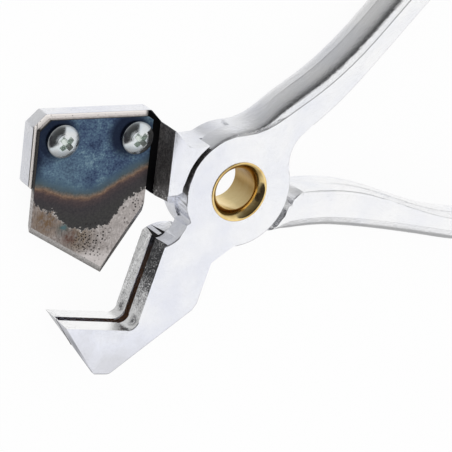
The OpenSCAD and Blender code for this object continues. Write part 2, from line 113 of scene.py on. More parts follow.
def add(tree, kind, inputs=None, **settings):
    """A new node, with its settings made and its inputs linked or set."""
    node = tree.nodes.new("ShaderNode" + kind)
    for key, value in settings.items():
        setattr(node, key, value)
    for key, value in (inputs or {}).items():
        if isinstance(value, bpy.types.NodeSocket):
            tree.links.new(value, node.inputs[key])
        else:
            node.inputs[key].default_value = value
    return node


def finish_named(name, metallic=1.0, roughness=0.2, colour=(0.8, 0.8, 0.8, 1)):
    """A material with its tree, its shader and a vector in millimetres."""
    material = bpy.data.materials.new(name)
    material.use_nodes = True
    tree = material.node_tree
    shader = tree.nodes["Principled BSDF"]
    shader.inputs["Metallic"].default_value = metallic
    shader.inputs["Roughness"].default_value = roughness
    shader.inputs["Base Color"].default_value = colour
    coords = add(tree, "TexCoord")
    place = add(tree, "Mapping", {"Vector": coords.outputs["Object"], "Scale": (1 / MM,) * 3})
    return material, tree, shader, place.outputs["Vector"]


def noise(tree, place, scale, detail=3.0, roughness=0.5, stretch=None):
    """Noise with a number of patches per millimetre, stretched along the axes if asked."""
    if stretch:
        place = add(tree, "Mapping", {"Vector": place, "Scale": stretch}).outputs["Vector"]
    return add(tree, "TexNoise", {"Vector": place, "Scale": scale, "Detail": detail,
                                  "Roughness": roughness}).outputs["Fac"]


def between(tree, value, low, high, to_low=0.0, to_high=1.0):
    """A value taken from one range to another, and held there."""
    return add(tree, "MapRange", {"Value": value, "From Min": low, "From Max": high,
                                  "To Min": to_low, "To Max": to_high}).outputs["Result"]


def maths(tree, operation, first, second=0.0):
    """A sum, product or other operation on two values."""
    return add(tree, "Math", {0: first, 1: second}, operation=operation).outputs[0]


def mixed(tree, amount, first, second):
    """Two colours mixed by an amount."""
    return add(tree, "Mix", {0: amount, 6: first, 7: second}, data_type="RGBA").outputs[2]


def ramp(tree, value, stops):
    """Colours along a value, from (position, colour) stops."""
    node = add(tree, "ValToRGB", {"Fac": value})
    steps = node.color_ramp.elements
    while len(steps) < len(stops):
        steps.new(0.5)
    for step, (position, colour) in zip(steps, stops):
        step.position, step.color = position, colour
    return node.outputs["Color"]


def bumped(tree, shader, heights):
    """Bumps laid over each other, from (height, strength, depth in millimetres) rows."""
    normal = None
    for height, strength, depth in heights:
        inputs = {"Height": height, "Strength": strength, "Distance": depth * MM}
        if normal:
            inputs["Normal"] = normal
        normal = add(tree, "Bump", inputs).outputs["Normal"]
    tree.links.new(normal, shader.inputs["Normal"])


def away_from(tree, place, centre):
    """The distance from a point."""
    return add(tree, "VectorMath", {0: place, 1: centre}, operation="DISTANCE").outputs["Value"]


def spot(tree, place, centre, inner, outer):
    """One inside a round spot on the piece, fading to nothing outside it."""
    return between(tree, away_from(tree, place, centre), inner, outer, 1.0, 0.0)


def heading(azimuth, elevation=0):
    """A direction from two angles in degrees."""
    around, rise = math.radians(azimuth), math.radians(elevation)
    return Vector((math.cos(around) * math.cos(rise), math.sin(around) * math.cos(rise),
                   math.sin(rise)))


# %% [markdown]
# ## Bright plating
#
# The plating is a mirror with faults. A polished zinc casting never gets quite flat, so slow
# waves bend its reflections, and fine pits and polishing marks blur them. The colour stays close
# to white with a touch of blue; painted reflection makes it lighter towards the handles and
# greyer at the jaw's toe. Ejector pins left two faint rings on the anvil half's face.

# %% Plating on the outside of the castings
PIN_MARKS = [((13.06, 23.33, 6.75), 1.7), ((-10.24, -19.0, 6.75), 2.2)]


def make_plating(name, pin_marks):
    """Bright plating with waves and haze, and rings from (centre, radius) pin marks."""
    material, tree, shader, place = finish_named(name, roughness=0.1)
    axes = add(tree, "SeparateXYZ", {"Vector": place})
    # Painted reflection: over random clouds, the tone rises towards the handles (+X) and falls at
    # the toe (low Y).
    cloud = maths(tree, "ADD", noise(tree, place, 0.09, 4),
                  between(tree, axes.outputs["X"], -25, 45, 0, 0.35))
    cloud = maths(tree, "SUBTRACT", cloud, between(tree, axes.outputs["Y"], -36, -47, 0, 0.4))
    tint = ramp(tree, cloud, [(0.1, seen(222, 223, 229)), (0.35, seen(236, 238, 247)),
                              (0.65, seen(247, 248, 252)), (0.9, seen(254, 254, 255))])
    tree.links.new(tint, shader.inputs["Base Color"])
    haze = noise(tree, place, 0.6, 6, 0.65)
    tree.links.new(between(tree, haze, 0.35, 0.7, 0.06, 0.17), shader.inputs["Roughness"])
    heights = [(noise(tree, place, 0.14, 2), 0.15, 0.5),
               (noise(tree, place, 0.8, 5, 0.7), 0.55, 0.24),
               (noise(tree, place, 2.0, 3, 0.7), 0.5, 0.13)]
    for centre, radius in pin_marks:
        off_ring = maths(tree, "SUBTRACT", away_from(tree, place, centre), radius)
        ring = between(tree, maths(tree, "ABSOLUTE", off_ring), 0.05, 0.3, 1.0, 0.0)
        heights.append((ring, 0.5, 0.03))
    bumped(tree, shader, heights)
    return material


plating = make_plating("plated_casting", pin_marks=[])
marked_plating = make_plating("plated_casting_with_pin_marks", PIN_MARKS)
print("plating made")

# %% [markdown]
# ## Plating on rough cast walls
#
# Polishing wheels don't reach into the cradle or the pocket. There the plating lies on the skin
# of the casting, which is grainy; its glitter is painted as light and dark specks. The wall next to
# the blade is painted nearly black as shade and dark reflection, and a little bright grain shows at
# its lower end. In the cradle, painted shade darkens the front wall high up, so it gets lighter
# towards the corner, and painted light keeps the floor nearly bright. The slot and the narrow gap
# between hub and block are painted dark as shade.

# %% Grain
def speckle(tree, place, fineness=2.5):
    """Fine grain from 0 to 1, and the same with a few patches in it."""
    grain = noise(tree, place, fineness, 3, 0.75)
    patches = noise(tree, place, 0.5, 3)
    return grain, maths(tree, "ADD", maths(tree, "MULTIPLY", grain, 0.8),
                        maths(tree, "MULTIPLY", patches, 0.2))


# %% Cradle
# Painted dark reflections in the cradle's corner, as (centre, size) rows.
CORNER_DARK_REFLECTIONS = [((-26.2, -35.4, -4.0), 2.0), ((-26.5, -36.4, 4.2), 2.2),
                  ((-29.4, -38.0, 5.8), 1.6)]


def make_cradle_grain_and_shade():
    """Grain in the cradle, with painted shade high on the front wall and painted light low down and
    on the floor.
    """
    material, tree, shader, place = finish_named("cradle_grain_and_shade", roughness=0.22)
    axes = add(tree, "SeparateXYZ", {"Vector": place})
    grain, level = speckle(tree, place)
    on_front = between(tree, axes.outputs["Z"], 0.0, 0.9)
    high = between(tree, axes.outputs["Y"], -35.0, -23.0)
    on_floor = between(tree, axes.outputs["Y"], -35.5, -38.0)
    # Painted shade high on the front wall, and painted light on the floor.
    wear_and_painted_shade = maths(tree, "MULTIPLY", on_front, between(tree, high, 0, 1, -0.03, 0.2))
    level = maths(tree, "SUBTRACT", level, wear_and_painted_shade)
    level = maths(tree, "ADD", level, maths(tree, "MULTIPLY", on_floor, 0.2))
    colour = ramp(tree, level, [(0.33, seen(50, 50, 53)), (0.42, seen(205, 205, 206)),
                                (0.52, seen(255, 255, 255))])
    ragged = between(tree, noise(tree, place, 1.6, 4, 0.7), 0.38, 0.5)
    # Painted reflection: dark ragged patches in the corner.
    for centre, size in CORNER_DARK_REFLECTIONS:
        dark_reflection = maths(tree, "MULTIPLY", spot(tree, place, centre, 0.3 * size, size), ragged)
        colour = mixed(tree, maths(tree, "MULTIPLY", dark_reflection, 0.85), colour, seen(58, 58, 64))
    tree.links.new(colour, shader.inputs["Base Color"])
    bumped(tree, shader, [(grain, 0.6, 0.1)])
    return material


cradle_grain_and_shade = make_cradle_grain_and_shade()
print("cradle finish made")


# %% Step wall and the gap round the hub
def make_wall_shade_and_grain():
    """Nearly black as painted shade and dark reflection, with a little bright grain at the step
    wall's lower end.
    """
    material, tree, shader, place = finish_named("wall_shade_and_grain", metallic=0.5, roughness=0.4)
    axes = add(tree, "SeparateXYZ", {"Vector": place})
    grain, level = speckle(tree, place, 2.6)
    low = between(tree, axes.outputs["Y"], 9.0, -1.0, 0.0, 0.1)
    # Painted shade: the base colour is nearly black on the step wall and in the gap round the hub.
    colour = ramp(tree, maths(tree, "ADD", level, low),
                  [(0.42, seen(52, 50, 51)), (0.56, seen(98, 95, 95)),
                   (0.68, seen(132, 130, 128)), (0.72, seen(230, 228, 226))])
    tree.links.new(colour, shader.inputs["Base Color"])
    bumped(tree, shader, [(grain, 0.5, 0.1)])
    return material


wall_shade_and_grain = make_wall_shade_and_grain()
print("dark walls made")

# %% Rim of the pocket
RIM_EDGE, RIM_LINE = -58.9, -58.15


def make_rim_grain_and_shade():
    """The pocket's floor: a light rim with chips, two dark lines of painted shade, and a painted
    dark reflection beside the wall.
    """
    material, tree, shader, place = finish_named("rim_grain_and_shade", metallic=0.2, roughness=0.4)
    along = add(tree, "SeparateXYZ", {"Vector": place}).outputs["X"]
    grain, level = speckle(tree, place, 1.4)
    colour = ramp(tree, level, [(0.35, seen(52, 42, 40)), (0.4, seen(252, 246, 242))])
    # Painted shade: thin dark lines at the rim's outer edge and along the gap by the blade's edge.
    off_line = maths(tree, "ABSOLUTE", maths(tree, "SUBTRACT", along, RIM_LINE))
    line = maths(tree, "MAXIMUM", between(tree, along, RIM_EDGE + 0.05, RIM_EDGE - 0.05),
                 between(tree, off_line, 0.05, 0.12, 1.0, 0.0))
    colour = mixed(tree, maths(tree, "MULTIPLY", line, 0.9), colour, seen(30, 27, 28))
    # Painted reflection: black beside the step wall.
    beside = between(tree, along, -27.2, -26.2)
    colour = mixed(tree, beside, colour, seen(14, 14, 15))
    tree.links.new(colour, shader.inputs["Base Color"])
    tree.links.new(between(tree, beside, 0, 1, 0.2, 1.0), shader.inputs["Metallic"])
    bumped(tree, shader, [(grain, 0.3, 0.08)])
    return material


rim_grain_and_shade = make_rim_grain_and_shade()
print("rim finish made")

# %% Slot
RUSTY_CORNER = (-27.5, -34, -0.45)


def make_slot_shade_and_rust():
    """Black in the slot as painted shade, with rust that gathers in its corner."""
    material, tree, shader, place = finish_named("slot_shade_and_rust", metallic=0.0, roughness=0.75)
    stain = maths(tree, "MULTIPLY", spot(tree, place, RUSTY_CORNER, 6, 19),
                  between(tree, noise(tree, place, 1.1, 4), 0.3, 0.5))
    # Painted shade: near black in the slot; the rust in the corner is a stain.
    colour = mixed(tree, stain, seen(14, 12, 12), seen(176, 124, 78))
    tree.links.new(colour, shader.inputs["Base Color"])
    bumped(tree, shader, [(noise(tree, place, 3, 3), 0.5, 0.1)])
    return material


slot_shade_and_rust = make_slot_shade_and_rust()
print("slot finish made")

# %% [markdown]
# ## A heat-blued blade
#
# Heating steel grows an oxide film whose colour tells the heat: straw, copper, then blue. The
# torch was held to the top, so blue covers it. A copper band curves across the middle, and below
# it the film turns dull. Near the edges the blade was ground bright again, and then it stained.
# Two curves across the blade carry this: the copper band, and the ragged start of bare steel.

# %% Lines and spots on the blade
BLADE_LEFT, BLADE_RIGHT, BLADE_FRONT = -58.1, -25.4, 0.45
CURVE_LOW, CURVE_HIGH = -14.0, 8.0


def line_across(tree, along, line):
    """The height in millimetres of a line across the blade, from its (x, y) points."""
    start = between(tree, along, BLADE_LEFT, BLADE_RIGHT)
    node = add(tree, "FloatCurve", {"Value": start})
    points = node.mapping.curves[0].points
    while len(points) < len(line):
        points.new(0.5, 0.5)
    for point, (x, y) in zip(points, line):
        point.location = ((x - BLADE_LEFT) / (BLADE_RIGHT - BLADE_LEFT),
                          (y - CURVE_LOW) / (CURVE_HIGH - CURVE_LOW))
    node.mapping.update()
    return between(tree, node.outputs["Value"], 0, 1, CURVE_LOW, CURVE_HIGH)


def blade_spot(tree, place, middle, inner, outer):
    """One inside a round spot on the blade's front, fading to nothing outside it."""
    return spot(tree, place, (*middle, BLADE_FRONT), inner, outer)


# %% Blue top
# Darker spots as (middle, inner, outer) rows: darker tint at the top corner, painted shadow left of
# each screw, and painted shade by the left edge.
DEEP_BLUE_AND_SHADE = [((-57.0, 20.0), 2.0, 9.0), ((-53.2, 15.8), 5.0, 7.2), ((-31.8, 15.8), 5.0, 7.4),
             ((-58.3, 10.0), 1.0, 4.0)]
PALE_PLACE = (-50.5, 4.5)


def blue_top(tree, place, along, crackle):
    """Navy to teal in clouds, with crackle, a darker corner, and painted shade by the left edge and
    the screws.
    """
    mottle = noise(tree, place, 0.16, 4, 0.6)
    cloud = maths(tree, "ADD", maths(tree, "MULTIPLY", mottle, 0.45),
                  maths(tree, "MULTIPLY", crackle, 0.55))
    blues = ramp(tree, cloud, [(0.36, seen(40, 50, 74)), (0.47, seen(66, 82, 108)),
                               (0.55, seen(86, 110, 130)), (0.63, seen(122, 146, 158))])
    # Painted shade: the dark band along the left edge beside the rim, and the spots left of the
    # screws.
    deep = between(tree, along, -55.6, -57.8)
    for middle, inner, outer in DEEP_BLUE_AND_SHADE:
        deep = maths(tree, "MAXIMUM", deep, blade_spot(tree, place, middle, inner, outer))
    blues = mixed(tree, maths(tree, "MULTIPLY", deep, 0.92), blues, seen(27, 33, 50))
    pale = maths(tree, "MULTIPLY", blade_spot(tree, place, PALE_PLACE, 2, 9),
                 between(tree, crackle, 0.4, 0.6, 0.2, 0.6))
    return mixed(tree, pale, blues, seen(104, 130, 144))


# %% Copper band
COPPER_LINE = [(-58.1, 2.3), (-53.3, 1.0), (-48.4, -0.6), (-43.9, -1.4), (-39.9, -0.6),
               (-35.6, 1.5), (-32.1, 3.6), (-25.4, 6.8)]


def copper_band(tree, above, crackle):
    """The film's colours by the height above the copper line: dull, copper, then blue."""
    tints = ramp(tree, between(tree, above, -6, 6), [
        (0.0, seen(70, 69, 68)), (0.25, seen(70, 66, 68)), (0.40, seen(84, 72, 72)),
        (0.465, seen(116, 94, 82)), (0.495, seen(140, 116, 98)), (0.54, seen(116, 108, 100)),
        (0.61, seen(84, 98, 104)), (0.80, seen(68, 92, 108)), (1.0, seen(64, 86, 108))])
    return mixed(tree, between(tree, crackle, 0.38, 0.62, 0.0, 0.45), tints, seen(38, 38, 44))


# %% Bare steel
BARE_LINE = [(-58.1, -1.5), (-55.0, -3.9), (-52.4, -4.7), (-48.3, -8.6), (-44.8, -10.3),
             (-37.3, -9.9), (-34.5, -7.7), (-31.2, -3.2), (-25.4, 0.8)]
STAINS = [((-53.8, -7.0), 6.5, (112, 90, 68), 0.95), ((-44.0, -12.4), 5.5, (124, 108, 88), 0.8),
          ((-48.6, -9.8), 2.6, (70, 84, 82), 1.0), ((-46.6, -12.2), 3.0, (98, 74, 68), 1.0),
          ((-48.6, -9.3), 1.2, (88, 116, 122), 0.8)]


def bare_steel(tree, place, along, height, rag):
    """Ground steel, lighter towards the tip, with stains of (middle, size, colour, share)."""
    fibre = noise(tree, place, 2.4, 4, 0.6, (1, 0.3, 1))
    steel = ramp(tree, maths(tree, "ADD", maths(tree, "MULTIPLY", fibre, 0.4),
                             maths(tree, "MULTIPLY", rag, 0.6)),
                 [(0.36, seen(92, 84, 80)), (0.5, seen(148, 140, 136)),
                  (0.62, seen(192, 186, 184))])
    wear_and_painted_shade = maths(tree, "MAXIMUM", between(tree, along, -42, -33, 0.0, 0.35),
                 between(tree, height, -15.5, -18.0, 0.0, 0.75))
    steel = mixed(tree, wear_and_painted_shade, steel, seen(222, 216, 214))
    for middle, size, colour, share in STAINS:
        patch = maths(tree, "MULTIPLY", blade_spot(tree, place, middle, 0.3 * size, size),
                      between(tree, rag, 0.36, 0.56, 0.0, share))
        steel = mixed(tree, patch, steel, seen(*colour))
    return steel


# %% Pits
PITS = [(1.15, (-39.5, -13.5), 3.0, 7.5), (1.1, (-28.5, -5.6), 2.0, 6.0),
        (1.6, (-42.5, -13.5), 2.0, 4.5)]
PIT_REACH = 0.36


def pit_marks(tree, place):
    """Small pits, in fields of (pits per millimetre, middle, inner and outer distance)."""
    marks = 0.0
    for scale, middle, inner, outer in PITS:
        pit = add(tree, "TexVoronoi", {"Vector": place, "Scale": scale, "Randomness": 1.0})
        field = maths(tree, "MULTIPLY",
                      between(tree, pit.outputs["Distance"], PIT_REACH * 0.5, PIT_REACH, 1, 0),
                      blade_spot(tree, place, middle, inner, outer))
        marks = maths(tree, "MAXIMUM", marks, field)
    return marks


# %% The heat-blued finish
def make_heat_blue():
    """Blue, copper and dull film over two lines, then bare steel with a bright ragged lip."""
    material, tree, shader, place = finish_named("heat_blued_steel")
    axes = add(tree, "SeparateXYZ", {"Vector": place})
    along, height = axes.outputs["X"], axes.outputs["Y"]
    crackle = noise(tree, place, 1.7, 5, 0.75)
    rag = noise(tree, place, 0.9, 6, 0.7)
    wander = between(tree, noise(tree, place, 0.35, 5, 0.6), 0.2, 0.8, -0.6, 0.6)
    above = maths(tree, "SUBTRACT", height, line_across(tree, along, COPPER_LINE))
    above = maths(tree, "ADD", above, wander)
    film = mixed(tree, between(tree, above, 1.0, 4.5), copper_band(tree, above, crackle),
                 blue_top(tree, place, along, crackle))

    below = maths(tree, "SUBTRACT", line_across(tree, along, BARE_LINE), height)
    below = maths(tree, "ADD", below, between(tree, rag, 0.3, 0.7, -1.3, 1.3))
    colour = mixed(tree, between(tree, below, -0.12, 0.12), film,
                   bare_steel(tree, place, along, height, rag))
    off_line = maths(tree, "ABSOLUTE", below)
    lip = maths(tree, "MULTIPLY", between(tree, off_line, 0.12, 0.4, 0.7, 0.0),
                between(tree, noise(tree, place, 0.6, 3), 0.45, 0.6))
    colour = mixed(tree, lip, colour, seen(214, 208, 204))

    marks = pit_marks(tree, place)
    colour = mixed(tree, marks, colour, seen(46, 42, 41))
    tree.links.new(colour, shader.inputs["Base Color"])
    tree.links.new(between(tree, below, -0.3, 0.3, 0.3, 0.42), shader.inputs["Roughness"])
    bumped(tree, shader, [(crackle, 0.3, 0.04), (marks, 0.6, -0.12)])
    return material


heat_blue = make_heat_blue()
print("heat colours made")


# %% Ground edges and sheared sides
def make_ground_edge():
    """Fresh grinding on the bevels: fine lines across the edge."""
    material, tree, shader, place = finish_named("ground_edge", roughness=0.35)
    lines = noise(tree, place, 5, 3, 0.6, (1, 0.3, 1))
    tree.links.new(ramp(tree, lines, [(0.3, seen(130, 128, 126)), (0.7, seen(196, 192, 190))]),
                   shader.inputs["Base Color"])
    bumped(tree, shader, [(lines, 0.3, 0.03)])
    return material


def make_cut_side():
    """The blade's sheared sides: bright, with painted shade on the left and along the upper edge,
    where the holder covers them.
    """
    material, tree, shader, place = finish_named("cut_side", metallic=0.4, roughness=0.4)
    axes = add(tree, "SeparateXYZ", {"Vector": place})
    streaks = noise(tree, place, 3, 3, 0.6, (1, 1, 0.2))
    bright = ramp(tree, streaks, [(0.3, seen(150, 146, 144)), (0.7, seen(206, 202, 200))])
    # Painted shade: nearly black where the sides lie in the pocket.
    on_left = maths(tree, "MULTIPLY", between(tree, axes.outputs["Y"], -1.0, 2.0),
                    between(tree, axes.outputs["X"], -57.2, -57.8))
    covered = maths(tree, "MAXIMUM", on_left, between(tree, axes.outputs["Z"], -0.35, -0.2))
    covered = maths(tree, "MULTIPLY", covered, between(tree, axes.outputs["Y"], -1.0, 2.0))
    tree.links.new(mixed(tree, covered, bright, seen(16, 14, 16)), shader.inputs["Base Color"])
    bumped(tree, shader, [(streaks, 0.3, 0.03)])
    return material


ground_edge = make_ground_edge()
cut_side = make_cut_side()
print("blade finishes made")

# %% [markdown]
# ## Zinc, brass and wire
#
# The screws have thin zinc plating, bluish on the heads and greenish in the cross. The rivet is
# drawn brass whose flare was pressed over, so it shines with soft rings round its axis. The wires
# are plain: oiled spring steel inside the hub, and plated wire for the bail.

# %% Finishes for screws, rivet and wires
SCREW_PLACES = {"blade_screw_outer": (-51.4, 14.9), "blade_screw_inner": (-29.9, 14.9)}


def rings_by(tree, reach, fineness):
    """Fine rings by a distance, as turning and pressing leave them."""
    return add(tree, "TexNoise", {"W": reach, "Scale": fineness, "Detail": 2},
               noise_dimensions="1D").outputs["Fac"]


def make_zinc(name, roughness, shades):
    """Turned and plated: fine rings round each screw's axis draw the reflections out."""
    material, tree, shader, place = finish_named(name, roughness=roughness)
    across = add(tree, "VectorMath", {0: place, 1: (1, 1, 0)}, operation="MULTIPLY").outputs[0]
    from_axes = [away_from(tree, across, (x, y, 0)) for x, y in SCREW_PLACES.values()]
    rings = rings_by(tree, maths(tree, "MINIMUM", *from_axes), 6)
    film = noise(tree, place, 0.45, 3)
    tree.links.new(ramp(tree, film, [(0.35, shades[0]), (0.65, shades[1])]),
                   shader.inputs["Base Color"])
    bumped(tree, shader, [(rings, 0.35, 0.05), (noise(tree, place, 2.2, 3), 0.12, 0.05)])
    return material


def make_brass():
    """Polished at the flares and duller in the bore, with painted light making the bore paler
    below.
    """
    material, tree, shader, place = finish_named("rivet_brass", roughness=0.14)
    axes = add(tree, "SeparateXYZ", {"Vector": place})
    reach = add(tree, "VectorMath", {0: place}, operation="LENGTH").outputs["Value"]
    rings = rings_by(tree, reach, 7)
    cloud = noise(tree, place, 0.5, 4)
    colour = ramp(tree, maths(tree, "ADD", maths(tree, "MULTIPLY", rings, 0.3),
                              maths(tree, "MULTIPLY", cloud, 0.7)),
                  [(0.32, seen(222, 184, 112)), (0.66, seen(246, 222, 164))])
    inside = maths(tree, "MINIMUM", between(tree, axes.outputs["Z"], 4.0, 4.8, 0.75, 0.0),
                   between(tree, axes.outputs["Z"], -6.6, -6.3, 0.0, 0.75))
    # Painted light: the bore's colour turns paler towards low Y.
    streaks_and_painted_light = mixed(tree, between(tree, axes.outputs["Y"], -5.0, -0.5), seen(250, 228, 172),
                  seen(164, 126, 62))
    tree.links.new(mixed(tree, inside, colour, streaks_and_painted_light), shader.inputs["Base Color"])
    deep = between(tree, inside, 0.0, 0.75, 0.12, 0.26)
    tree.links.new(deep, shader.inputs["Roughness"])
    bumped(tree, shader, [(rings, 0.12, 0.03)])
    return material


def make_wire(name, dark, bright, roughness):
    """Drawn wire, with streaks between two shades."""
    material, tree, shader, place = finish_named(name, roughness=roughness)
    streaks_and_painted_light = noise(tree, place, 3, 3, 0.6, (0.3, 1, 1))
    tree.links.new(ramp(tree, streaks_and_painted_light, [(0.3, dark), (0.7, bright)]), shader.inputs["Base Color"])
    bumped(tree, shader, [(streaks_and_painted_light, 0.2, 0.02)])
    return material


zinc = make_zinc("zinc_screw", 0.15, [seen(210, 218, 224), seen(222, 225, 226)])
recess_zinc = make_zinc("zinc_recess", 0.3, [seen(214, 222, 217), seen(232, 238, 234)])
brass = make_brass()
spring_steel = make_wire("spring_wire", seen(70, 70, 74), seen(120, 120, 124), 0.35)
bail_steel = make_wire("latch_wire", seen(196, 196, 200), seen(228, 228, 232), 0.2)
print("small finishes made")

# %% [markdown]
# ## The castings
#
# A die casting has no knife edges: the die's corners and the plating round them all. The model's
# solids have sharp ones, so each casting is copied, its loose triangles are joined, and the
# edges that stand out are bevelled. A wide bevel runs where both faces have room for it, and a
# narrow one along small ledges. Thin dark lines of reflection then run along the edges.

# %% Copy a node
SAME_PLACE = 0.002 * MM
SAME_PLANE = math.radians(0.3)


def joined_copy(node):
    """A bmesh of a node, with its triangles joined and flat faces made whole."""
    shape = bmesh.new()
    shape.from_mesh(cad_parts[node].data)
    bmesh.ops.remove_doubles(shape, verts=shape.verts, dist=SAME_PLACE)
    bmesh.ops.dissolve_degenerate(shape, edges=shape.edges, dist=SAME_PLACE)
    bmesh.ops.dissolve_limit(shape, angle_limit=SAME_PLANE, verts=shape.verts, edges=shape.edges)
    return shape


# %% Find the room for a bevel
RUNS_ON = math.radians(150)


def face_depth(face, edge):
    """How deep a face is behind one of its edges, at the edge's middle and near its ends."""
    loop = next(loop for loop in edge.link_loops if loop.face == face)
    start = loop.vert.co
    along = (edge.other_vert(loop.vert).co - start).normalized()
    inward = face.normal.cross(along)
    spots = [edge.calc_length() * share for share in (0.1, 0.5, 0.9)]
    flat = [((corner.co - start).dot(along), (corner.co - start).dot(inward))
            for corner in face.verts]
    depth = max(high for place, high in flat)
    for (x0, y0), (x1, y1) in zip(flat, flat[1:] + flat[:1]):
        for x in spots:
            if (x0 - x) * (x1 - x) < 0:
                y = y0 + (y1 - y0) * (x - x0) / (x1 - x0)
                if y > 1e-6:
                    depth = min(depth, y)
    return depth


def room_at(edge):
    """How much room a bevel has along an edge, from its faces and from the edges at its ends."""
    rooms = [face_depth(face, edge) for face in edge.link_faces]
    for corner in edge.verts:
        out = edge.other_vert(corner).co - corner.co
        for other in corner.link_edges:
            if other != edge:
                way = other.other_vert(corner).co - corner.co
                angle = out.angle(way, 0.0)
                if angle < RUNS_ON:
                    rooms.append(way.length * math.sin(angle))
    return min(rooms)


# %% Round the edges
WIDE_ROUND, NARROW_ROUND = 0.38 * MM, 0.08 * MM
ROUND_FROM, ROUND_CORNERS_FROM = math.radians(38), math.radians(25)
LAP_ZONE = 0.2 * MM
CRADLE_TIP, TIP_REACH = Vector((-48.2, -35.6)) * MM, 1.0 * MM


def on_lap(face):
    """Whether a face lies in the plane where the two castings lap. It stays as it is."""
    return abs(face.normal.z) > 0.9 and all(abs(corner.co.z) < LAP_ZONE for corner in face.verts)


def round_edges(shape, width, steps):
    """Bevels the outward edges that have room for this width."""
    edges = [edge for edge in shape.edges if len(edge.link_faces) == 2 and edge.is_convex
             and edge.calc_face_angle(0) > ROUND_FROM
             and edge.calc_length() > 0.3 * width and room_at(edge) > 2.5 * width
             and not any(on_lap(face) for face in edge.link_faces)
             and min((corner.co.xy - CRADLE_TIP).length for corner in edge.verts) > TIP_REACH]
    bmesh.ops.bevel(shape, geom=edges, offset=width, segments=steps, profile=0.5,
                    affect="EDGES", clamp_overlap=False, material=-1)
    for corner in shape.verts:
        corner.co.z = max(-FRONT, min(FRONT, corner.co.z))
    return len(edges)


def round_corners(shape, low, high, width):
    """Rounds upright edges inside a box, as the die's corners do."""
    edges = [edge for edge in shape.edges
             if edge.is_convex and edge.calc_face_angle(0) > ROUND_CORNERS_FROM
             and abs(edge.verts[0].co.z - edge.verts[1].co.z) > 0.9 * edge.calc_length() > 3 * MM
             and all(low[i] * MM < corner.co[i] < high[i] * MM
                     for corner in edge.verts for i in (0, 1))]
    bmesh.ops.bevel(shape, geom=edges, offset=width, segments=4, profile=0.5, affect="EDGES",
                    clamp_overlap=True, material=-1)
    return len(edges)


# %% Raise the parting seam
SEAM, SEAM_FADE = 0.12 * MM, 8 * MM
SEAM_LEVELS = (-0.16 * MM, 0, 0.16 * MM)


def with_borders(faces):
    """Faces with their edges and corners, each of them once."""
    borders = dict.fromkeys(part for face in faces for part in (*face.edges, *face.verts))
    return faces + list(borders)


def raise_seam(shape, height, near, far):
    """The die's parting line: a low ridge at half the thickness along the handle's outer side."""
    for level in SEAM_LEVELS:
        sides = [face for face in shape.faces if abs(face.normal.z) < 0.6
                 and all(near < corner.co.length < far for corner in face.verts)]
        bmesh.ops.bisect_plane(shape, geom=with_borders(sides), dist=1e-7,
                               plane_co=(0, 0, level), plane_no=(0, 0, 1))
    ridge = [corner for corner in shape.verts
             if abs(corner.co.z) < 1e-6 and near < corner.co.length < far and corner.is_manifold]
    moves = []
    for corner in ridge:
        reach = corner.co.length
        share = min(1, (reach - near) / SEAM_FADE, (far - reach) / SEAM_FADE)
        flat = Vector((corner.normal.x, corner.normal.y, 0)).normalized()
        moves.append((corner, flat * height * share))
    for corner, move in moves:
        corner.co += move
    return len(moves)


# %% Turn a bmesh into a piece
def make_piece(name, shape, body, nodes, materials):
    """Turns a bmesh into a piece that stands for its nodes."""
    for face in shape.faces:
        face.smooth = True
    mesh = bpy.data.meshes.new(name)
    shape.to_mesh(mesh)
    shape.free()
    for material in materials:
        mesh.materials.append(material)
    piece = bpy.data.objects.new(name, mesh)
    bpy.context.scene.collection.objects.link(piece)
    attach(piece, body)
    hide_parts(*nodes)
    print(name, "has", len(mesh.polygons), "faces")
    return piece


def soften(piece, angle=50):
    """Keeps flat faces flat between the rounded edges."""
    piece.data.set_sharp_from_angle(angle=math.radians(angle))
    weigh = piece.modifiers.new("even_shading", "WEIGHTED_NORMAL")
    weigh.keep_sharp = True
    weigh.weight = 60


# %% [markdown]
# ## Which face gets which finish
#
# The grainy faces are found by where they lie: the cradle's wall and floor by their directions
# from its corner, the slot by its distance from the blade's plane, the step wall by its X, and
# the gap beside the block by its angle and distance from the pivot.

# %% Anvil half
WALL_AWAY, FLOOR_AWAY = heading(165.8), heading(82.6)
CRADLE = Vector((-27, -38.4, 0)) * MM
JAW_END, BEHIND_WALL, BELOW_FLOOR = -12 * MM, -9 * MM, -8 * MM
BLADE_MID = -0.45 * MM
SLOT_HALF = 1.3 * MM
HUB_R = 16 * MM
HUB_GAP = (math.radians(119), math.radians(181))


def on_round(face, radius):
    """Whether a face lies on an upright cylinder round the pivot."""
    middle = face.calc_center_median()
    return abs(face.normal.z) < 0.3 and abs(middle.xy.length - radius) < 0.3 * MM


def anvil_finish(face):
    """Which finish a face of the anvil half has: plating, grain, the slot's painted shade, or a
    wall painted dark as shade.
    """
    middle, way = face.calc_center_median(), face.normal
    beside_block = HUB_GAP[0] < math.atan2(middle.y, middle.x) < HUB_GAP[1]
    # Painted shade: the hub's side in the gap beside the block gets the dark wall finish.
    if on_round(face, HUB_R) and beside_block:
        return 3
    from_corner = middle - CRADLE
    off_wall, off_floor = from_corner.dot(WALL_AWAY), from_corner.dot(FLOOR_AWAY)
    if middle.x > JAW_END or off_wall < BEHIND_WALL or off_floor < BELOW_FLOOR:
        return 0
    sunk = off_wall < -0.5 * MM or off_floor < -0.5 * MM
    # Painted shade: the slot's faces get the near-black slot finish.
    if sunk and abs(middle.z - BLADE_MID) < SLOT_HALF + 0.1 * MM:
        return 2
    if abs(way.z) < 0.5 and way.dot(WALL_AWAY + FLOOR_AWAY) > 0.5:
        if -0.6 * MM < off_wall and -0.6 * MM < off_floor and min(off_wall, off_floor) < 1.6 * MM:
            return 1
    return 0


